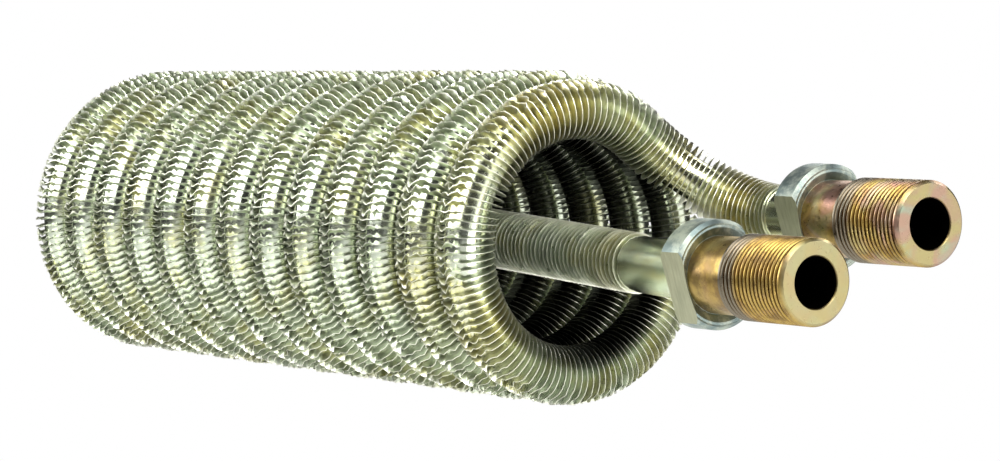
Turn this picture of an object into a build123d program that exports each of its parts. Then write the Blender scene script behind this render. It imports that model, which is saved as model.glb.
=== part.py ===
from build123d import *
from math import cos, pi, radians, sin, sqrt
import os

# Finned tube heat exchanger coil: one length of integrally finned tube, wound into a tight left-handed
# helix, with both of its plain ends brought out at the front into threaded connections.
# Origin: on the inlet's axis, where its thread reaches full diameter behind the chamfered mouth.
# +X points out of the connections, +Z is up.

# Tube (mm)
plain_od = 18.0            # plain ends, where the wall was left unfinned
fin_od = 19.6              # over the tips of the fins
core_od = 13.2             # at the roots of the fins
fin_pitch = 2.31           # 11 fins to the inch
tube_bore = 11.5           # clear way for the water, the whole length of the tube

# Connections (mm): G 3/4 parallel thread, cut along nearly two thirds of the nipple
thread_major = 26.441
thread_length = 30.7
neck_od = 24.0
neck_length = 15.7         # plain neck between thread and collar
nipple_bore = 15.6
spigot_od = 20.6           # part of the nipple that sits in the collar
spigot_length = 4.4
mouth_chamfer = 1.0        # at the start of the thread
thread_chamfer = 0.8       # where the thread runs down to the neck
bore_chamfer = 0.4

# Collars (mm)
collar_od = 34.0
collar_width = 11.0
collar_flats = 25.0        # across the two spanner flats
flat_lean = 18.0           # degrees the flats lean from upright
collar_chamfer = 1.2
sink_od = 29.0             # countersink that the neck stands in
sink_depth = 1.2
joint_gap = 0.1            # brazing gap on the radius, and behind the spigot

# Helix (mm, and degrees round it from its right-hand side)
coil_mean_radius = 44.4    # coil axis to tube axis
coil_pitch = 23.8          # advance of one turn
coil_setback = 45.2        # collars' backs to where the first turn would begin
coil_axis_y = -4.8         # coil axis, seen from the inlet's axis
coil_axis_z = 8.5
lead_out_angle = 142.0     # where the outlet leaves the first turn
last_turn_angle = 4590.0   # where the last turn ends, at its lowest point

# Lead-out to the outlet (mm)
outlet_y = 43.5            # outlet axis, seen from the inlet's axis
outlet_z = 16.2
outlet_plain = 12.6        # unfinned tube behind the collar
lead_out_ratio = 1.0       # share of the lead-out's first arc to its second

# Return leg, straight through the middle of the coil (mm)
leg_slope = 0.056          # rise for each mm towards the closed end
leg_bend_radius = 160.0    # slight set that gives the leg its slope
leg_set_back = 1.0         # collar's back to the set
inlet_plain = 31.6         # unfinned tube behind the collar
hook_reach = 31.0          # how far the last turn lies beyond the leg's end
hook_ratio = 0.5           # share of the hook's first arc to its second

loft_stretch = 200         # half fins in one loft of the tube's skin

end_face_x = mouth_chamfer
thread_end_x = end_face_x - thread_length
collar_front_x = thread_end_x - neck_length
collar_back_x = collar_front_x - collar_width
sink_floor_x = collar_front_x - sink_depth
spigot_end_x = sink_floor_x - spigot_length
tube_end_x = spigot_end_x - joint_gap
coil_start_x = collar_back_x - coil_setback
lead_out_x = collar_back_x - outlet_plain
leg_start_x = collar_back_x - leg_set_back
leg_end_x = coil_start_x - coil_pitch * last_turn_angle / 360 + hook_reach


def helix_point(angle):
    turn = radians(angle)
    x = coil_start_x - coil_pitch * angle / 360
    y = coil_axis_y + coil_mean_radius * cos(turn)
    z = coil_axis_z + coil_mean_radius * sin(turn)
    return Vector(x, y, z)


def helix_direction(angle):
    # Towards the closed end of the coil
    turn = radians(angle)
    advance = -coil_pitch / (2 * pi)
    return Vector(advance, -coil_mean_radius * sin(turn), coil_mean_radius * cos(turn)).normalized()


def helix_edge():
    # Left-handed, from the lead-out round to the last turn
    turn = radians(lead_out_angle)
    start = helix_point(lead_out_angle)
    frame = Plane(
        origin=(start.X, coil_axis_y, coil_axis_z),
        x_dir=(0, cos(turn), sin(turn)),
        z_dir=(-1, 0, 0),
    )
    height = coil_pitch * (last_turn_angle - lead_out_angle) / 360
    return frame * Helix(coil_pitch, height, coil_mean_radius, lefthand=True)


def two_arcs(start, start_direction, end, end_direction, ratio):
    # Two arcs that meet smoothly: the first leaves start along its direction, the second reaches
    # end along its own. Their tangent points lie reach * ratio and reach away from the two ends.
    span = end - start
    a = 2 * ratio * (start_direction.dot(end_direction) - 1)
    b = -2 * span.dot(start_direction * ratio + end_direction)
    reach = (-b - sqrt(b * b - 4 * a * span.dot(span))) / (2 * a)
    near = start + start_direction * (reach * ratio)
    far = end - end_direction * reach
    joint = near + (far - near) * (ratio / (1 + ratio))
    first = Edge.make_tangent_arc(start, start_direction, joint)
    second = Edge.make_tangent_arc(joint, (far - near).normalized(), end)
    return [first, second]


def swept(edges, diameter):
    path = Wire(edges)
    section = Plane(origin=path @ 0, z_dir=path % 0) * Circle(diameter / 2)
    return sweep(section, path=path)


def inlet_end():
    # Level through the collar, then a slight set, as far as the first fin of the return leg
    level = Vector(-1, 0, 0)
    rise = Vector(-1, 0, leg_slope).normalized()
    set_start = Vector(leg_start_x, 0, 0)
    set_run = leg_bend_radius * leg_slope / (1 + sqrt(1 + leg_slope**2))
    set_end = set_start + (level + rise) * set_run
    first_fin = set_end + rise * ((set_end.X - collar_back_x + inlet_plain) / -rise.X)
    straight = Edge.make_line(Vector(tube_end_x, 0, 0), set_start)
    bend = Edge.make_tangent_arc(set_start, level, set_end)
    return [straight, bend, Edge.make_line(set_end, first_fin)]


def return_leg(first_fin, rise):
    # Straight to the far end of the coil, then round a hook into the last turn
    leg_end = first_fin + rise * ((first_fin.X - leg_end_x) / -rise.X)
    last_turn = helix_point(last_turn_angle)
    hook = two_arcs(leg_end, rise, last_turn, -helix_direction(last_turn_angle), hook_ratio)
    return [Edge.make_line(first_fin, leg_end)] + hook


def lead_out():
    # From the helix round into line with the outlet
    start = helix_point(lead_out_angle)
    end = Vector(lead_out_x, outlet_y, outlet_z)
    return two_arcs(start, -helix_direction(lead_out_angle), end, Vector(1, 0, 0), lead_out_ratio)


def fin_sections(path):
    # Circles across the tube, two to each fin: by turns the root and the tip, with the plain tube's
    # own circle at either end. Each is turned as little as can be from the one before it.
    halves = 2 * round(path.length / fin_pitch)
    aside = Vector(0, 0, 1)
    sections = []
    for half in range(halves + 1):
        share = half / halves
        along = path % share
        aside = (aside - along * aside.dot(along)).normalized()
        diameter = fin_od if half % 2 else core_od
        if half in (0, halves):
            diameter = plain_od
        place = Plane(origin=path @ share, x_dir=aside, z_dir=along)
        sections.append(Wire([Edge.make_circle(diameter / 2, place)]))
    return sections


def side_faces(solid):
    # A solid's skin without its flat ends
    return [face for face in solid.faces() if face.geom_type != GeomType.PLANE]


def finned_skin(path):
    # Straight flanks from circle to circle, laid a stretch at a time
    sections = fin_sections(path)
    skin = []
    for first in range(0, len(sections) - 1, loft_stretch):
        stretch = sections[first:first + loft_stretch + 1]
        skin += side_faces(Solid.make_loft(stretch, ruled=True))
    return skin


def end_ring(place):
    # The tube's own wall, seen on its sawn end
    ring = Circle(plain_od / 2) - Circle(tube_bore / 2)
    return (Plane(origin=place, z_dir=(1, 0, 0)) * ring).faces()


def finned_coil():
    # One closed skin: the plain ends, the fins between them, the bore and the two sawn ends
    inlet_edges = inlet_end()
    finned_edges = return_leg(inlet_edges[-1] @ 1, inlet_edges[-1] % 1) + [helix_edge()] + lead_out()
    outlet_place = Vector(tube_end_x, outlet_y, outlet_z)
    outlet_edges = [Edge.make_line(finned_edges[-1] @ 1, outlet_place)]
    bore = swept(inlet_edges + finned_edges + outlet_edges, tube_bore)
    plain_ends = side_faces(swept(inlet_edges, plain_od)) + side_faces(swept(outlet_edges, plain_od))
    ends = end_ring(Vector(tube_end_x, 0, 0)) + end_ring(outlet_place)
    return Solid(Shell(plain_ends + finned_skin(Wire(finned_edges)) + side_faces(bore) + ends))


def nipple():
    # Half section in x and radius, turned about the X axis
    major = thread_major / 2
    neck = neck_od / 2
    spigot = spigot_od / 2
    bore = nipple_bore / 2
    outline = Polyline(
        (end_face_x, bore + bore_chamfer),
        (end_face_x, major - mouth_chamfer),
        (end_face_x - mouth_chamfer, major),
        (thread_end_x + thread_chamfer, major),
        (thread_end_x, neck),
        (sink_floor_x, neck),
        (sink_floor_x, spigot),
        (spigot_end_x, spigot),
        (spigot_end_x, bore),
        (end_face_x - bore_chamfer, bore),
        close=True,
    )
    return revolve(make_face(outline), axis=Axis.X)


def collar():
    # Turned ring with a stepped bore: the tube enters from the back, the nipple from the front
    rim = collar_od / 2
    sink_floor = neck_od / 2 + joint_gap
    spigot_bore = spigot_od / 2 + joint_gap
    tube_hole = plain_od / 2 + joint_gap
    outline = Polyline(
        (collar_front_x, sink_od / 2),
        (collar_front_x, rim - collar_chamfer),
        (collar_front_x - collar_chamfer, rim),
        (collar_back_x + collar_chamfer, rim),
        (collar_back_x, rim - collar_chamfer),
        (collar_back_x, tube_hole),
        (tube_end_x, tube_hole),
        (tube_end_x, spigot_bore),
        (sink_floor_x, spigot_bore),
        (sink_floor_x, sink_floor),
        close=True,
    )
    ring = revolve(make_face(outline), axis=Axis.X)
    middle_x = (collar_front_x + collar_back_x) / 2
    between_flats = Box(collar_width, collar_flats, collar_od)
    return ring & (Pos(middle_x, 0, 0) * Rot(flat_lean, 0, 0) * between_flats)


os.makedirs("parts", exist_ok=True)
outlet = Pos(0, outlet_y, outlet_z)
pieces = {
    "finned_coil": finned_coil(),
    "inlet_nipple": nipple(),
    "outlet_nipple": outlet * nipple(),
    "inlet_collar": collar(),
    "outlet_collar": outlet * collar(),
}
for name, piece in pieces.items():
    export_step(piece, f"parts/{name}.step")
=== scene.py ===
import bpy
import numpy as np
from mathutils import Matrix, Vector


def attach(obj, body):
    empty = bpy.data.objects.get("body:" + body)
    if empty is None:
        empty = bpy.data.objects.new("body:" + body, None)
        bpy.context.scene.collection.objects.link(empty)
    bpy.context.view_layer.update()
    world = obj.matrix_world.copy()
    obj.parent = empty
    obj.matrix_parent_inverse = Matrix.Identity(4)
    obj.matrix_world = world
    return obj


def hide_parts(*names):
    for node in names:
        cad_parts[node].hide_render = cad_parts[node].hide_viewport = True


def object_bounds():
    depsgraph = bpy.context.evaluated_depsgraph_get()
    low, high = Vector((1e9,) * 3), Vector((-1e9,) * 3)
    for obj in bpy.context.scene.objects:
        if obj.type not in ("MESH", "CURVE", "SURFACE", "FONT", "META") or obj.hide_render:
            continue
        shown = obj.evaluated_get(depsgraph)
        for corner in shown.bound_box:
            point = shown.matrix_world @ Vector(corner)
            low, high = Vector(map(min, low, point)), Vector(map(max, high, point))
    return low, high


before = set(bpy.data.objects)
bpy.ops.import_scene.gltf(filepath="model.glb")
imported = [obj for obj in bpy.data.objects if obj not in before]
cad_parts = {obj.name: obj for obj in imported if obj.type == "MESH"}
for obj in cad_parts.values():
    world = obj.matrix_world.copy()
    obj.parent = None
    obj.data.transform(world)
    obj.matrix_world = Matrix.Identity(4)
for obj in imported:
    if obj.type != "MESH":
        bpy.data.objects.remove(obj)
cadLow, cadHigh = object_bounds()
print("frame loaded")

mm = 0.001  # the script works in millimetres, meshes are stored in metres
fullTurn = 2 * np.pi
faceX = round(cadHigh.x / mm, 3)  # the connections' end faces: every X below is measured from them
soft = dict(interpolation_type="SMOOTHSTEP")  # settings of a Map Range node that eases in and out
times = dict(operation="MULTIPLY")  # settings of a Math node
ofColours = dict(data_type="RGBA")  # settings of a Mix node: share i0, colours i6 and i7, output 2


def toLinear(hexColour):
    # sRGB hex to linear: each channel c becomes ((c + 0.055) / 1.055) to the power 2.4,
    # or c / 12.92 when it is dark
    srgb = np.array([int(hexColour[i:i + 2], 16) for i in (1, 3, 5)]) / 255
    linear = np.where(srgb > 0.04045, ((srgb + 0.055) / 1.055) ** 2.4, srgb / 12.92)
    return (*linear, 1.0)


def addNode(tree, kind, settings=None, **links):
    # settings are the node's own fields, links are its inputs: a socket is linked and a value is set.
    # An input goes by its name, with _ for each space, or by its number, as in i6.
    node = tree.nodes.new(kind)
    for name, value in (settings or {}).items():
        setattr(node, name, value)
    for name, value in links.items():
        key = int(name[1:]) if name[0] == "i" and name[1:].isdigit() else name.replace("_", " ")
        socket = node.inputs[key]
        if isinstance(value, bpy.types.NodeSocket):
            tree.links.new(value, socket)
        else:
            socket.default_value = value
    return node


def makePiece(name, points, faces, material, sharpDegrees, **fields):
    # points is an (n, 3) array in millimetres, faces an (m, 4) array of indices, and each field
    # a number for every point, which the material reads as an attribute
    mesh = bpy.data.meshes.new(name)
    mesh.from_pydata(((points + [faceX, 0, 0]) * mm).astype(np.float32), [], faces)
    mesh.polygons.foreach_set("use_smooth", np.ones(len(mesh.polygons), bool))
    mesh.set_sharp_from_angle(angle=np.radians(sharpDegrees))
    for field, values in fields.items():
        layer = mesh.attributes.new(field, "FLOAT", "POINT")
        layer.data.foreach_set("value", np.ascontiguousarray(values, np.float32).ravel())
    mesh.update()
    piece = bpy.data.objects.new(name, mesh)
    bpy.context.scene.collection.objects.link(piece)
    mesh.materials.append(material)
    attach(piece, "root")
    return piece


def gridFaces(rows, columns, wrapRows=False, wrapColumns=False):
    # quads of a grid of rows x columns points, stored row by row: point, next row, next both, next column
    i = np.arange(rows if wrapRows else rows - 1)[:, None]
    j = np.arange(columns if wrapColumns else columns - 1)[None, :]
    i2, j2 = (i + 1) % rows, (j + 1) % columns
    corners = [i * columns + j, i2 * columns + j, i2 * columns + j2, i * columns + j2]
    return np.stack(np.broadcast_arrays(*corners), -1).reshape(-1, 4)


def smoothStep(x, low, high):
    # 0 below low, 1 above high, and 3 t squared less 2 t cubed between them
    t = np.clip((x - low) / (high - low), 0, 1)
    return t * t * (3 - 2 * t)


def plateau(x, begins, full, falls, ends):
    # rises from begins to full, and sinks again from falls to ends
    return smoothStep(x, begins, full) * smoothStep(-x, -ends, -falls)


def bell(x, middle, spread):
    # e to the power of minus the squared distance from the middle, in spreads
    return np.exp(-((x - middle) / spread) ** 2)


def unit(v):
    # each vector over its own length
    return v / np.linalg.norm(v, axis=-1, keepdims=True)


route = dict(
    meanRadius=44.4, pitch=23.8, startX=-102.6,  # helix: coil axis to tube axis, advance of a turn, start
    axisY=-4.8, axisZ=8.5,  # coil axis, from the inlet's axis
    leadOutDeg=142.0, lastDeg=4590.0,  # where the outlet leaves the helix, and where its last turn ends
    tubeEndX=-52.1,  # the tube's sawn ends, in the collars
    legStartX=-58.4, legSlope=0.056, legBendRadius=160.0, legEndX=-375.05,  # return leg: set, rise and end
    outletY=43.5, outletZ=16.2, leadOutX=-70.0,  # outlet axis, and where the tube comes into line with it
    hookRatio=0.5, leadOutRatio=1.0,  # first arc to second, in the hook and in the lead-out
    step=0.5,  # from point to point of the centreline
    endPoints=200,  # points at each end that are sure to lie before the coil
)


def helixPoint(degrees):
    # angle from +Y towards +Z, while x falls by one pitch a turn: a left-handed helix
    turn = np.radians(degrees)
    x = route["startX"] - route["pitch"] * np.asarray(degrees) / 360
    y = route["axisY"] + route["meanRadius"] * np.cos(turn)
    z = route["axisZ"] + route["meanRadius"] * np.sin(turn)
    return np.stack(np.broadcast_arrays(x, y, z), -1)


def helixDirection(degrees):
    # how helixPoint moves as the angle grows, as a unit vector
    turn = np.radians(degrees)
    advance = np.full_like(turn, -route["pitch"] / fullTurn)
    across, up = -route["meanRadius"] * np.sin(turn), route["meanRadius"] * np.cos(turn)
    return unit(np.stack([advance, across, up], -1))


def lineRun(start, end):
    # points a step apart on the straight line from start to end
    t = np.linspace(0, 1, max(2, int(np.linalg.norm(end - start) / route["step"])))[:, None]
    return start + (end - start) * t


def arcRun(start, direction, end):
    # the arc that leaves start along direction and passes through end:
    # its radius is the chord squared over twice the end's distance from the tangent line
    chord = end - start
    across = chord - direction * (chord @ direction)
    radius = (chord @ chord) / (2 * np.linalg.norm(across))
    angle = 2 * np.arctan2(np.linalg.norm(across), chord @ direction)
    t = np.linspace(0, angle, int(radius * angle / route["step"]))[:, None]
    return start + radius * (np.sin(t) * direction + (1 - np.cos(t)) * unit(across))


def twoArcs(start, startDirection, end, endDirection, ratio):
    # two arcs that meet smoothly; their tangent points lie reach * ratio and reach from the two ends
    span = end - start
    a = 2 * ratio * (startDirection @ endDirection - 1)
    b = -2 * span @ (startDirection * ratio + endDirection)
    reach = (-b - np.sqrt(b * b - 4 * a * (span @ span))) / (2 * a)
    near = start + startDirection * reach * ratio
    far = end - endDirection * reach
    joint = near + (far - near) * ratio / (1 + ratio)
    return [arcRun(start, startDirection, joint), arcRun(joint, unit(far - near), end)]


def centreline():
    # inlet end, set, return leg, hook, the helix from its last turn back to its first, lead-out, outlet
    # end; it also gives the numbers of the helix's first and last points
    level, slope = np.array([-1.0, 0, 0]), route["legSlope"]
    rise = unit(np.array([-1.0, 0, slope]))
    tubeStart = np.array([route["tubeEndX"], 0, 0])
    setStart = np.array([route["legStartX"], 0, 0])
    setEnd = setStart + (level + rise) * route["legBendRadius"] * slope / (1 + np.sqrt(1 + slope ** 2))
    legEnd = setEnd + rise * (setEnd[0] - route["legEndX"]) / -rise[0]
    last, first = np.array(route["lastDeg"]), np.array(route["leadOutDeg"])
    outletBend = np.array([route["leadOutX"], route["outletY"], route["outletZ"]])
    outletEnd = np.array([route["tubeEndX"], route["outletY"], route["outletZ"]])
    turns = np.linspace(last, first, int(np.radians(last - first) * route["meanRadius"] / route["step"]))
    inlet = [lineRun(tubeStart, setStart), arcRun(setStart, level, setEnd), lineRun(setEnd, legEnd)]
    hook = twoArcs(legEnd, rise, helixPoint(last), -helixDirection(last), route["hookRatio"])
    leadOut = twoArcs(helixPoint(first), -helixDirection(first), outletBend, -level, route["leadOutRatio"])
    runs = inlet + hook + [helixPoint(turns)] + leadOut + [lineRun(outletBend, outletEnd)]
    points = np.concatenate([runs[0]] + [run[1:] for run in runs[1:]])
    before = sum(len(run) - 1 for run in inlet + hook)
    return points, before, before + len(turns) - 1


def carriedFrame(points, helixFrom, helixTo):
    # along the helix, outward points straight away from the coil's axis; before and after it,
    # outward is carried along the line without twist, so that the fins never jump
    tangent = unit(np.gradient(points, axis=0))
    outward = points - np.array([0, route["axisY"], route["axisZ"]])
    outward[:, 0] = 0
    outward = unit(outward - tangent * (outward * tangent).sum(1, keepdims=True))
    for i in range(helixTo, len(points)):
        carried = outward[i - 1] - tangent[i] * (outward[i - 1] @ tangent[i])
        outward[i] = carried / np.linalg.norm(carried)
    for i in range(helixFrom, -1, -1):
        carried = outward[i + 1] - tangent[i] * (outward[i + 1] @ tangent[i])
        outward[i] = carried / np.linalg.norm(carried)
    return tangent, outward, np.cross(tangent, outward)


linePoints, helixFrom, helixTo = centreline()
lineTangent, lineOutward, lineAside = carriedFrame(linePoints, helixFrom, helixTo)
lineLength = np.concatenate([[0], np.cumsum(np.linalg.norm(np.diff(linePoints, axis=0), axis=1))])
print("tube centreline", round(lineLength[-1]), "mm")


def atLength(values, length):
    # what the centreline's points hold, at any length along it, by straight lines from point to point
    return np.stack([np.interp(length, lineLength, values[:, k]) for k in range(3)], -1)


def lengthAtX(x, fromEnd):
    # distance along the tube at which its inlet or outlet end passes x
    part = slice(-route["endPoints"], None) if fromEnd else slice(0, route["endPoints"])
    order = np.argsort(linePoints[part, 0])
    return np.interp(x, linePoints[part, 0][order], lineLength[part][order])


def aroundTube(length, angle, radius, slip):
    # a point at a length along the tube, turned by angle from outward, radius away from the centreline
    # and moved by slip along the tube
    centre, along = atLength(linePoints, length), unit(atLength(lineTangent, length))
    out, aside = atLength(lineOutward, length), atLength(lineAside, length)
    turned = out * np.cos(angle)[..., None] + aside * np.sin(angle)[..., None]
    return centre + turned * radius[..., None] + along * slip[..., None]


tube = dict(
    plainRadius=9.0, coreRadius=6.6, boreRadius=5.75,  # plain ends, roots of the fins, waterway
    inletFinsX=-89.0, outletFinsX=-70.0,  # where the fins begin and end
    shoulder=0.3,  # length of the step from a plain end down to the roots
    step=3.0, columns=24, sharpDegrees=40,  # grid along and round
)
finsFrom = lengthAtX(tube["inletFinsX"], False)
finsTo = lengthAtX(tube["outletFinsX"], True)
coilFrom, coilTo = lineLength[helixFrom], lineLength[helixTo]

stains = dict(  # middle of each along the tube, how far it spreads, and how strong it is
    places=(coilTo + 18, coilTo - 58, finsTo - 16, finsTo - 44, finsFrom + 8, coilTo - 150, coilTo - 320),
    spreads=(24, 13, 15, 12, 10, 16, 20),
    strengths=(0.7, 0.5, 0.8, 0.6, 0.4, 0.3, 0.35),
)
# painted shade on the side of the tube that faces the coil's axis
dirt = dict(
    cleanDegrees=95, dirtyDegrees=140,  # round the tube, from the coil's outside
    length=(coilFrom - 10, coilFrom + 40, coilTo - 120, coilTo - 60),  # along it: the first turn gets no painted shade
)


def stainAt(length):
    # brazing heat has gilded the tube here and there: the strongest of the bells over those places
    places, spreads = np.array(stains["places"]), np.array(stains["spreads"])
    return (bell(length[..., None], places, spreads) * np.array(stains["strengths"])).max(-1)


def dirtAt(length, angle):
    # painted shade: the side that faces the coil's axis is darkened, by a step round the tube times a
    # plateau along it
    turned = np.abs((angle + np.pi) % fullTurn - np.pi)
    inside = smoothStep(turned, np.radians(dirt["cleanDegrees"]), np.radians(dirt["dirtyDegrees"]))
    return inside * plateau(length, *dirt["length"])


def buildTube(material):
    # outer wall and bore as one closed skin: radius is a function of length, carried round the tube
    shoulder = tube["shoulder"]
    nearEnds = [finsFrom, finsFrom + shoulder, finsTo - shoulder, finsTo, lineLength[-1]]
    length = np.unique(np.concatenate([nearEnds, np.arange(0, lineLength[-1], tube["step"])]))
    finned = (length > finsFrom + shoulder / 2) & (length < finsTo - shoulder / 2)
    outer = np.where(finned, tube["coreRadius"], tube["plainRadius"])
    profileLength = np.concatenate([length, length[::-1]])
    profileRadius = np.concatenate([outer, np.full(len(length), tube["boreRadius"])])
    angle = np.linspace(0, fullTurn, tube["columns"], endpoint=False)
    s, a = np.meshgrid(profileLength, angle, indexing="ij")
    r = np.broadcast_to(profileRadius[:, None], s.shape)
    points = aroundTube(s, a, r, np.zeros_like(s)).reshape(-1, 3)
    faces = gridFaces(len(profileLength), tube["columns"], wrapRows=True, wrapColumns=True)
    # the second field is painted shade on the side that faces the coil's axis
    return makePiece("tube_wall", points, faces[:, ::-1], material, tube["sharpDegrees"],
                     stain=stainAt(s), grime=dirtAt(s, a))


fins = dict(
    pitch=2.31, tipRadius=9.75, rootSink=0.15,  # how deep the roots stand in the wall
    halves=(0.22, 0.13, 0.09), shares=(0.0, 0.6, 1.0),  # half thickness, and where: root, middle, tip
    columnsPerTurn=32, crowding=0.48,  # grid round the tube, crowded towards its outer crest
    pieces=4, sharpDegrees=50, seed=7,
    fold=1.05, foldJitter=0.3, bendPower=1.6,  # how far the tips were pushed along the tube
    waves=((-16, 12, 1.0), (4, 9, -0.95), (-44, 14, -0.5)),  # degrees round, spread and push of each
    hiddenWave=(66, 12, 0.8), hiddenFrom=(240, 300),  # one more, and how far behind the lead-out
    tabs=(9, 17, 38, 50), tabPush=0.6,  # degrees round, and push
    crest=(35, 70),  # degrees round, within which the tips are crumpled
    ripples=(4, 7, 11, 16), crumple=0.26, phaseJitter=1.5,  # waves round the tube, size and unevenness
    crinkle=0.2, lean=0.12,  # jitter from point to point, and from fin to fin
    pressed=0.35, pressMost=1.8,  # how far a pushed tip sinks, and how many times that at most
    formed=(coilFrom - 20, coilFrom + 20, coilTo + 40, coilTo + 85),  # the length that was wound
)


def finNoise(rng, turn, size):
    # one random number for each fin, joined by straight lines so that the ribbon stays whole
    count = int(turn[-1]) + 3
    return np.interp(turn, np.arange(count), rng.normal(0, size, count))


def buildFins(material):
    # One ribbon wound round the tube, a turn for each fin. Its section is root, middle, tip, and back
    # down the other side. On the coil, forming has pushed the tips along the tube at the outer crest:
    # up and down in bells, then laid over as a row of flat tabs. A point's slip is the tip's slip times
    # its share of the fin's height to the bendPower, and its sinking goes by the share cubed.
    rng = np.random.default_rng(fins["seed"])
    perTurn = fins["columnsPerTurn"]
    columns = int((finsTo - finsFrom) / fins["pitch"] * perTurn)
    turn = np.arange(columns + 1) / perTurn
    even = fullTurn * turn
    angle = even - fins["crowding"] * np.sin(even)
    length = finsFrom + fins["pitch"] * turn
    degrees = np.degrees((angle + np.pi) % fullTurn - np.pi)
    onCoil = plateau(length, *fins["formed"])
    wave = sum(push * bell(degrees, middle, spread) for middle, spread, push in fins["waves"])
    middle, spread, push = fins["hiddenWave"]
    wave = wave + push * smoothStep(coilTo - length, *fins["hiddenFrom"]) * bell(degrees, middle, spread)
    tabs = fins["tabPush"] * plateau(degrees, *fins["tabs"])
    crest = 1 - smoothStep(np.abs(degrees), *fins["crest"])
    ripple = np.zeros(columns + 1)
    for waves in fins["ripples"]:
        size = finNoise(rng, turn, fins["crumple"])
        ripple += size * np.sin(waves * angle + finNoise(rng, turn, fins["phaseJitter"]))
    ripple = ripple + rng.normal(0, fins["crinkle"], columns + 1)
    folded = fins["fold"] * (1 + finNoise(rng, turn, fins["foldJitter"])) * (wave + tabs)
    slipTip = onCoil * (folded + ripple * crest) + finNoise(rng, turn, fins["lean"])
    pushed = np.clip(np.abs(folded) / fins["fold"] + ripple * crest, 0, fins["pressMost"])
    press = onCoil * fins["pressed"] * pushed
    # painted shade on the fins' side that faces the coil's axis
    grime = dirtAt(length, angle)
    side = np.concatenate([fins["halves"], -np.array(fins["halves"])[::-1]])
    share = np.concatenate([fins["shares"], fins["shares"][::-1]])
    rootRadius = tube["coreRadius"] - fins["rootSink"]
    bounds = np.linspace(0, columns, fins["pieces"] + 1).astype(int)
    built = []
    for n in range(fins["pieces"]):
        part = slice(bounds[n], bounds[n + 1] + 1)
        s, sh = np.meshgrid(length[part], share, indexing="ij")
        a = np.broadcast_to(angle[part][:, None], s.shape)
        radius = rootRadius + sh * (fins["tipRadius"] - rootRadius - press[part][:, None] * sh ** 2)
        slip = side + slipTip[part][:, None] * sh ** fins["bendPower"]
        points = aroundTube(s, a, radius, slip).reshape(-1, 3)
        faces = gridFaces(s.shape[0], len(side))
        # each point's share of the fin's height, which the material turns into painted shade at the roots and
        # a partly painted highlight at the tips
        built.append(makePiece(f"fins_{n + 1}", points, faces, material, fins["sharpDegrees"], burnish=sh,
                               stain=stainAt(s), grime=np.broadcast_to(grime[part][:, None], s.shape)))
    return built


nipple = dict(
    major=13.2205, threadPitch=1.814, threadDepth=1.16, threadLength=30.7,  # a G 3/4 thread, radius over it
    neck=12.0, neckEnd=-47.6, spigot=10.3, spigotEnd=-52.0, bore=7.8,  # radii, and where each ends
    mouthChamfer=1.0, boreChamfer=0.4, neckStep=0.2,  # neckStep: length of the drop from thread to neck
    tooth=(0.1, 0.95),  # from a crest's middle to its edge and to the root, in half pitches
    cut=(1.0, 2.6, 28.7, 30.7),  # behind the face: the thread deepens to full, then runs out
    bare=(21.7, 25.7),  # behind the face: where the film begins to thin, and is gone
    columns=128, rowsPerPitch=16, sharpDegrees=35,
)


def buildNipple(name, material, y, z, bloom):
    # turned about X: the radius follows the profile, and between its ends the thread cuts into it by a
    # rounded saw of 55 degrees, one pitch for each turn
    n = nipple
    rows = int(n["threadLength"] / n["threadPitch"] * n["rowsPerPitch"])
    threadX = np.linspace(-n["mouthChamfer"], -n["threadLength"], rows)
    mouth = [(0, n["bore"] + n["boreChamfer"]), (0, n["major"] - n["mouthChamfer"])]
    thread = np.stack([threadX, np.full(rows, n["major"])], -1)
    shank = [(-n["threadLength"] - n["neckStep"], n["neck"]), (n["neckEnd"], n["neck"]),
             (n["neckEnd"], n["spigot"]), (n["spigotEnd"], n["spigot"]),
             (n["spigotEnd"], n["bore"]), (-n["boreChamfer"], n["bore"])]
    x, r = np.concatenate([mouth, thread, shank]).T
    angle = np.linspace(0, fullTurn, n["columns"], endpoint=False)
    xx, aa = np.meshgrid(x, angle, indexing="ij")
    profileRadius = np.broadcast_to(r[:, None], xx.shape)
    phase = (xx / n["threadPitch"] + aa / fullTurn) % 1
    tooth = smoothStep(np.abs(phase * 2 - 1), *n["tooth"])
    onThread = (xx <= -n["mouthChamfer"]) & (xx >= -n["threadLength"])
    cut = np.where(onThread, tooth * plateau(-xx, *n["cut"]), 0)
    radius = profileRadius - cut * n["threadDepth"]
    # points in the bore get painted shade, near black
    inBore = (radius < n["bore"] + n["boreChamfer"] / 2) * 1.0
    onFace = (xx == 0) * (radius > n["bore"] + n["boreChamfer"] / 2)
    bare = np.where(onThread, smoothStep(-xx, *n["bare"]), 0)
    points = np.stack([xx, y + radius * np.cos(aa), z + radius * np.sin(aa)], -1).reshape(-1, 3)
    faces = gridFaces(len(x), n["columns"], wrapRows=True, wrapColumns=True)
    # the thread's depth also sets painted shade in its grooves
    piece = makePiece(name + "_threaded", points, faces, material, n["sharpDegrees"], groove=cut,
                      inside=inBore, face=onFace, bare=bare, bloom=np.full_like(xx, bloom))
    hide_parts(name)
    return piece


copper = dict(
    cloudSize=16,  # mm: patches of straw tint in the tin
    speckSize=2.2,  # mm: the rolls' marks are a few tenths, too fine to show, and are drawn this coarse
    # the fins' root colour is painted shade between the fins; their tip colour is partly burnishing, partly
    # painted highlight
    tin="#ced6c3", straw="#cfcb98", gilt="#cfc07a", root="#6c6d56", tip="#eeeee0", dirt="#1f1f1a",
    grows=dict(straw=(0.46, 0.7, 0.0, 0.75), gilt=(0.35, 0.62, 0.5, 1.0),  # from, to in its pattern,
               root=(0.2, 0.7, 0.5, 0.0), tip=(0.7, 1.0, 0.0, 0.85)),  # and the shares there
    mostDirt=0.95,
    roughDrawn=(0.35, 0.65, 0.14, 0.26), roughRolled=(0.3, 0.7, 0.27, 0.45),
    bumpStrength=0.2, bumpHeight=0.3,
)


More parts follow.
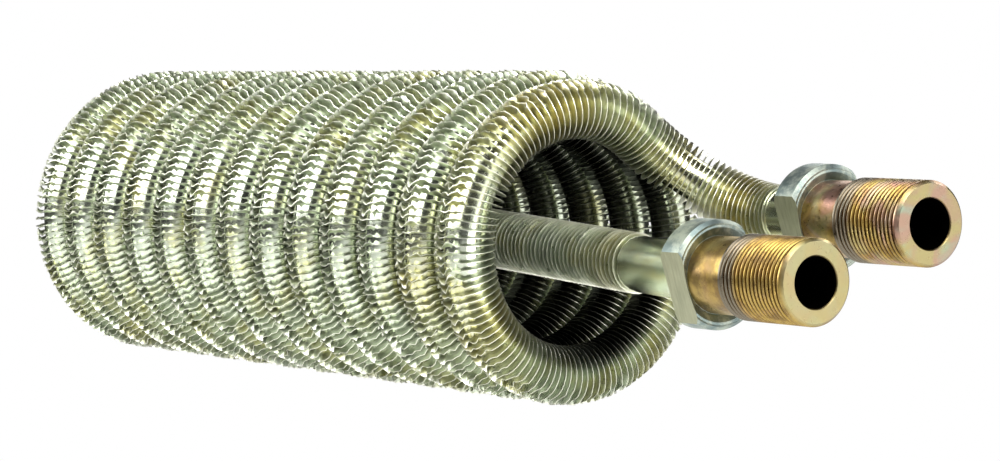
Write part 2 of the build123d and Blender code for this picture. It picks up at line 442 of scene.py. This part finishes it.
def tinnedCopper(name, finned):
    # Copper tube dipped in tin: silver with a grey-green cast and straw-coloured clouds. Drawn, it is
    # smooth and mirrors in streaks. On its rolled-up fins the roots are painted dark as painted shade between
    # the fins, and the tips are painted pale, partly burnishing by the rolls and partly painted highlight.
    # The side that faces the coil's axis is painted near black as painted shade.
    material = bpy.data.materials.new(name)
    material.use_nodes = True
    tree = material.node_tree
    shader = tree.nodes["Principled BSDF"]
    place = addNode(tree, "ShaderNodeTexCoord").outputs["Object"]
    fields = ("stain", "grime") + (("burnish",) if finned else ())
    onPoint = {field: addNode(tree, "ShaderNodeAttribute", dict(attribute_name=field)).outputs["Fac"]
               for field in fields}
    cloud = addNode(tree, "ShaderNodeTexNoise", Vector=place, Scale=1 / (copper["cloudSize"] * mm),
                    Detail=5.0, Roughness=0.65).outputs[0]
    speck = addNode(tree, "ShaderNodeTexNoise", Vector=place, Scale=1 / (copper["speckSize"] * mm),
                    Detail=3.0, Roughness=0.6).outputs[0]
    patterns = dict(straw=cloud, gilt=speck)
    if finned:
        # painted shade at the fins' roots and a partly painted highlight at their tips, both by the share of
        # the fin's height
        patterns.update(root=onPoint["burnish"], tip=onPoint["burnish"])
    shares = {}
    for layer, pattern in patterns.items():
        begins, full, least, most = copper["grows"][layer]
        shares[layer] = addNode(tree, "ShaderNodeMapRange", soft, Value=pattern, From_Min=begins,
                                From_Max=full, To_Min=least, To_Max=most).outputs[0]
    shares["gilt"] = addNode(tree, "ShaderNodeMath", times, i0=onPoint["stain"], i1=shares["gilt"]).outputs[0]
    # painted shade: near black on the side that faces the coil's axis
    shares["dirt"] = addNode(tree, "ShaderNodeMath", times, i0=onPoint["grime"],
                             i1=copper["mostDirt"]).outputs[0]
    colour = toLinear(copper["tin"])
    for layer, share in shares.items():  # in this order, each over the ones before it
        colour = addNode(tree, "ShaderNodeMix", ofColours, i0=share, i6=colour,
                         i7=toLinear(copper[layer])).outputs[2]
    low, high, smoothest, roughest = copper["roughRolled" if finned else "roughDrawn"]
    rough = addNode(tree, "ShaderNodeMapRange", Value=speck if finned else cloud, From_Min=low,
                    From_Max=high, To_Min=smoothest, To_Max=roughest).outputs[0]
    if finned:
        bump = addNode(tree, "ShaderNodeBump", Height=speck, Strength=copper["bumpStrength"],
                       Distance=copper["bumpHeight"] * mm).outputs[0]
        tree.links.new(bump, shader.inputs["Normal"])
    shader.inputs["Metallic"].default_value = 1.0
    tree.links.new(colour, shader.inputs["Base Color"])
    tree.links.new(rough, shader.inputs["Roughness"])
    return material


chromate = dict(
    cloudSize=9, filmSize=11,  # mm: patches where the dip drained, and bands of the rainbow film
    speckSize=1.6,  # mm: the freckles are a few tenths, too fine to show, and are drawn this coarse
    gold="#a48a4a", dull="#6f5831", freckle="#6d5a3c", face="#a5996c", pink="#a87f7c", green="#8fae98",
    # the last two colours on the next line are painted shade: brown in the thread's grooves, near black in
    # the bore
    bare="#6f685a", groove="#4a3517", inside="#1b1712",
    grows=dict(dull=(0.42, 0.62, 0.8), freckle=(0.5, 0.72, 0.4), pink=(0.42, 0.66, 0.62),
               green=(0.42, 0.64, 0.7), groove=(0.1, 0.6, 0.93)),  # from and to in its pattern, and most
    greenOffFace=0.25,  # what is left of the green away from the end face
    inletBloom=0.2, outletBloom=1.0,  # how much of the rainbow film each nipple has
    rough=(0.3, 0.7, 0.24, 0.44), bumpStrength=0.08, bumpHeight=0.2,
)


def chromatedSteel():
    # Turned steel under yellow chromate: golden, mottled brown, with the thin film's pink and green
    # bloom on the end face, painted shade in brown in the grooves, bare grey where the chaser ran out,
    # and painted shade in black in the bore
    material = bpy.data.materials.new("yellow_chromated_steel_turned")
    material.use_nodes = True
    tree = material.node_tree
    shader = tree.nodes["Principled BSDF"]
    place = addNode(tree, "ShaderNodeTexCoord").outputs["Object"]
    onPoint = {field: addNode(tree, "ShaderNodeAttribute", dict(attribute_name=field)).outputs["Fac"]
               for field in ("groove", "inside", "face", "bare", "bloom")}
    cloud = addNode(tree, "ShaderNodeTexNoise", Vector=place, Scale=1 / (chromate["cloudSize"] * mm),
                    Detail=5.0, Roughness=0.65).outputs[0]
    speck = addNode(tree, "ShaderNodeTexNoise", Vector=place, Scale=1 / (chromate["speckSize"] * mm),
                    Detail=4.0, Roughness=0.7).outputs[0]
    film = addNode(tree, "ShaderNodeTexNoise", Vector=place, Scale=1 / (chromate["filmSize"] * mm),
                   Detail=4.0, Distortion=0.8).outputs[1]
    apart = addNode(tree, "ShaderNodeSeparateColor", Color=film)
    patterns = dict(dull=cloud, freckle=speck, pink=apart.outputs[0], green=apart.outputs[1],
                    groove=onPoint["groove"])
    shares = {field: onPoint[field] for field in ("face", "bare", "inside")}
    for layer, pattern in patterns.items():
        begins, full, most = chromate["grows"][layer]
        shares[layer] = addNode(tree, "ShaderNodeMapRange", soft, Value=pattern, From_Min=begins,
                                From_Max=full, To_Max=most).outputs[0]
    mostlyFace = addNode(tree, "ShaderNodeMapRange", Value=onPoint["face"],
                         To_Min=chromate["greenOffFace"], To_Max=1.0).outputs[0]
    for layer, by in (("pink", onPoint["bloom"]), ("green", onPoint["bloom"]), ("green", mostlyFace)):
        shares[layer] = addNode(tree, "ShaderNodeMath", times, i0=shares[layer], i1=by).outputs[0]
    colour = toLinear(chromate["gold"])
    for layer in ("dull", "freckle", "face", "pink", "green", "bare", "groove", "inside"):
        colour = addNode(tree, "ShaderNodeMix", ofColours, i0=shares[layer], i6=colour,
                         i7=toLinear(chromate[layer])).outputs[2]
    low, high, smoothest, roughest = chromate["rough"]
    rough = addNode(tree, "ShaderNodeMapRange", Value=speck, From_Min=low, From_Max=high,
                    To_Min=smoothest, To_Max=roughest).outputs[0]
    bump = addNode(tree, "ShaderNodeBump", Height=speck, Strength=chromate["bumpStrength"],
                   Distance=chromate["bumpHeight"] * mm).outputs[0]
    shader.inputs["Metallic"].default_value = 1.0
    tree.links.new(colour, shader.inputs["Base Color"])
    tree.links.new(rough, shader.inputs["Roughness"])
    tree.links.new(bump, shader.inputs["Normal"])
    return material


zinc = dict(
    ringGap=1.3,  # mm: the lathe's feed is near 0.2, too fine to show, and its rings are drawn this coarse
    streakSize=0.9, streakStretch=(1.0, 0.12, 0.12),  # mm: the cutter's marks, drawn coarse likewise
    streakRelief=0.8,  # height of the streaks, to that of the rings
    cloudSize=7,  # mm: patches where the zinc has dulled
    dulled=(0.4, 0.62), skin=("#73817f", "#a9b1a5"), flats=("#848872", "#b6b59a"),  # dark and pale
    flatLean=18,  # degrees the flats lean from upright
    flatFacing=(0.985, 0.995), frontFacing=(0.9, 0.98),  # cosines between which a face counts as one
    rough=(0.3, 0.7, 0.38, 0.55), bumpStrength=0.35, bumpHeight=0.2,
)


def zincSteel(name, y, z):
    # Milled steel under clear zinc: blue-grey with a green cast, fine turning rings round the tube's
    # axis, milling streaks down the flats, and a paler yellow-green on them. The rings are the sine of
    # the distance from the axis; a flat is known by how squarely it faces along the flats' normal.
    material = bpy.data.materials.new(name)
    material.use_nodes = True
    tree = material.node_tree
    shader = tree.nodes["Principled BSDF"]
    place = addNode(tree, "ShaderNodeTexCoord").outputs["Object"]
    fromAxis = addNode(tree, "ShaderNodeMapping", Vector=place, Location=(0, -y * mm, -z * mm)).outputs[0]
    parts = addNode(tree, "ShaderNodeSeparateXYZ", Vector=fromAxis)
    radial = addNode(tree, "ShaderNodeCombineXYZ", Y=parts.outputs[1], Z=parts.outputs[2]).outputs[0]
    radius = addNode(tree, "ShaderNodeVectorMath", dict(operation="LENGTH"), i0=radial).outputs["Value"]
    rounds = addNode(tree, "ShaderNodeMath", times, i0=radius,
                     i1=fullTurn / (zinc["ringGap"] * mm)).outputs[0]
    ring = addNode(tree, "ShaderNodeMath", dict(operation="SINE"), i0=rounds).outputs[0]
    normal = addNode(tree, "ShaderNodeNewGeometry").outputs["True Normal"]
    lean = np.radians(zinc["flatLean"])
    facing = addNode(tree, "ShaderNodeVectorMath", dict(operation="DOT_PRODUCT"), i0=normal,
                     i1=(0, -np.cos(lean), -np.sin(lean))).outputs["Value"]
    both = addNode(tree, "ShaderNodeMath", dict(operation="ABSOLUTE"), i0=facing).outputs[0]
    onFlat = addNode(tree, "ShaderNodeMapRange", Value=both, From_Min=zinc["flatFacing"][0],
                     From_Max=zinc["flatFacing"][1]).outputs[0]
    front = addNode(tree, "ShaderNodeSeparateXYZ", Vector=normal).outputs[0]
    onFront = addNode(tree, "ShaderNodeMapRange", Value=front, From_Min=zinc["frontFacing"][0],
                      From_Max=zinc["frontFacing"][1]).outputs[0]
    streakPlace = addNode(tree, "ShaderNodeMapping", Vector=place, Scale=zinc["streakStretch"]).outputs[0]
    streak = addNode(tree, "ShaderNodeTexNoise", Vector=streakPlace, Scale=1 / (zinc["streakSize"] * mm),
                     Detail=3.0).outputs[0]
    cloud = addNode(tree, "ShaderNodeTexNoise", Vector=place, Scale=1 / (zinc["cloudSize"] * mm),
                    Detail=5.0, Roughness=0.7).outputs[0]
    worn = addNode(tree, "ShaderNodeMapRange", soft, Value=cloud, From_Min=zinc["dulled"][0],
                   From_Max=zinc["dulled"][1]).outputs[0]
    skin, flats = [
        addNode(tree, "ShaderNodeMix", ofColours, i0=share, i6=toLinear(dark), i7=toLinear(pale)).outputs[2]
        for share, (dark, pale) in ((worn, zinc["skin"]), (streak, zinc["flats"]))]
    colour = addNode(tree, "ShaderNodeMix", ofColours, i0=onFlat, i6=skin, i7=flats).outputs[2]
    turned = addNode(tree, "ShaderNodeMath", times, i0=ring, i1=onFront).outputs[0]
    height = addNode(tree, "ShaderNodeMath", dict(operation="MULTIPLY_ADD"), i0=streak,
                     i1=zinc["streakRelief"], i2=turned).outputs[0]
    bump = addNode(tree, "ShaderNodeBump", Height=height, Strength=zinc["bumpStrength"],
                   Distance=zinc["bumpHeight"] * mm).outputs[0]
    low, high, smoothest, roughest = zinc["rough"]
    rough = addNode(tree, "ShaderNodeMapRange", Value=cloud, From_Min=low, From_Max=high,
                    To_Min=smoothest, To_Max=roughest).outputs[0]
    shader.inputs["Metallic"].default_value = 1.0
    tree.links.new(colour, shader.inputs["Base Color"])
    tree.links.new(rough, shader.inputs["Roughness"])
    tree.links.new(bump, shader.inputs["Normal"])
    return material


chromated = chromatedSteel()
wall = buildTube(tinnedCopper("tinned_copper_drawn", False))
finPieces = buildFins(tinnedCopper("tinned_copper_rolled_fins", True))
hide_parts("finned_coil")
print("tube and fins built")

for name, y, z in (("inlet", 0, 0), ("outlet", route["outletY"], route["outletZ"])):
    bloom = chromate[name + "Bloom"]
    buildNipple(name + "_nipple", chromated, y, z, bloom)
    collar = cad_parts[name + "_collar"]
    collar.data.materials.clear()
    collar.data.materials.append(zincSteel(name + "_zinc_plated_steel_milled", y, z))
print("fittings built")


studio = dict(
    floorDrop=0.30, floorSize=3.2, fadeFrom=0.45, fadeTo=1.5,  # metres: below the part, across, and its rim
    paint="#e6e6e4", paintRough=0.9, white="#ffffff",
    dim=0.04,  # how bright the air is to the metal, where it is 1 to the lens
    target=(-0.16105, -0.0048, 0.0093),  # what the camera and the lights point at
    camAzimuth=56.77, camElevation=2.58, camDistance=1.14594, lens=124.36, sensor=36.0, clip=(0.05, 30),
    lamps=(  # name, azimuth, elevation, distance, width and height in metres, watts
        ("left_box", -18, 24, 1.5, (2.7, 1.0), 49),
        ("right_box", 118, 12, 1.4, (1.5, 1.3), 9),
        ("right_key", 92, 31, 1.4, (0.9, 0.6), 15),
        ("top_box", 20, 82, 1.2, (1.2, 0.5), 8),
        ("front_high", 66, 50, 1.4, (0.8, 0.4), 7),
        ("front_low", 92, -13, 1.0, (0.8, 0.16), 2.2),
        ("rear_box", 205, 35, 1.5, (1.4, 0.5), 10),
    ),
)


def directionFrom(azimuth, elevation):
    # unit vector towards an azimuth, from -Y towards +X, and an elevation
    a, e = np.radians(azimuth), np.radians(elevation)
    return Vector((np.sin(a) * np.cos(e), -np.cos(a) * np.cos(e), np.sin(e)))


def addLight(name, azimuth, elevation, distance, size, watts):
    # a rectangle of light that faces the target
    light = bpy.data.lights.new(name, "AREA")
    light.shape = "RECTANGLE"
    light.size, light.size_y = size
    light.energy = watts
    lamp = bpy.data.objects.new(name, light)
    back = directionFrom(azimuth, elevation)
    lamp.location = Vector(studio["target"]) + back * distance
    lamp.rotation_euler = back.to_track_quat("Z", "Y").to_euler()
    bpy.context.scene.collection.objects.link(lamp)


def buildFloor():
    # a square of matt paint, whose rim glows as white as the studio air so that no edge shows
    half = studio["floorSize"] / 2
    floorZ = cadLow.z - studio["floorDrop"]
    mesh = bpy.data.meshes.new("floor")
    corners = [(-half, -half, floorZ), (half, -half, floorZ), (half, half, floorZ), (-half, half, floorZ)]
    mesh.from_pydata(corners, [], [(0, 1, 2, 3)])
    floor = bpy.data.objects.new("floor", mesh)
    paint = bpy.data.materials.new("matt_white_paint")
    paint.use_nodes = True
    tree = paint.node_tree
    shader = tree.nodes["Principled BSDF"]
    shader.inputs["Base Color"].default_value = toLinear(studio["paint"])
    shader.inputs["Roughness"].default_value = studio["paintRough"]
    place = addNode(tree, "ShaderNodeTexCoord").outputs["Object"]
    away = addNode(tree, "ShaderNodeVectorMath", dict(operation="LENGTH"), i0=place).outputs["Value"]
    fade = addNode(tree, "ShaderNodeMapRange", soft, Value=away, From_Min=studio["fadeFrom"],
                   From_Max=studio["fadeTo"]).outputs[0]
    glow = addNode(tree, "ShaderNodeEmission", Color=toLinear(studio["white"]), Strength=1.0).outputs[0]
    both = addNode(tree, "ShaderNodeMixShader", i0=fade, i1=shader.outputs[0], i2=glow).outputs[0]
    tree.links.new(both, tree.nodes["Material Output"].inputs["Surface"])
    mesh.materials.append(paint)
    bpy.context.scene.collection.objects.link(floor)


def buildAir():
    # the lens sees white air behind the metal, but the metal itself stands in a dim room, and mirrors
    # only the boxes of light and the floor
    world = bpy.data.worlds.new("studio_air")
    bpy.context.scene.world = world
    world.use_nodes = True
    tree = world.node_tree
    seen = addNode(tree, "ShaderNodeLightPath").outputs["Is Camera Ray"]
    level = addNode(tree, "ShaderNodeMapRange", Value=seen, To_Min=studio["dim"], To_Max=1.0).outputs[0]
    tree.links.new(level, tree.nodes["Background"].inputs["Strength"])
    tree.nodes["Background"].inputs["Color"].default_value = toLinear(studio["white"])


def buildCamera():
    # it looks at the target from its own azimuth, elevation and distance
    camera = bpy.data.objects.new("camera", bpy.data.cameras.new("camera"))
    back = directionFrom(studio["camAzimuth"], studio["camElevation"])
    camera.location = Vector(studio["target"]) + back * studio["camDistance"]
    camera.rotation_mode = "QUATERNION"
    camera.rotation_quaternion = back.to_track_quat("Z", "Y")
    camera.data.sensor_width = studio["sensor"]
    camera.data.lens = studio["lens"]
    camera.data.clip_start, camera.data.clip_end = studio["clip"]
    bpy.context.scene.collection.objects.link(camera)
    bpy.context.scene.camera = camera


buildFloor()
buildAir()
for lamp in studio["lamps"]:
    addLight(*lamp)
buildCamera()
bpy.context.scene.view_settings.view_transform = "Standard"  # as a camera shows white paper
print("studio built")
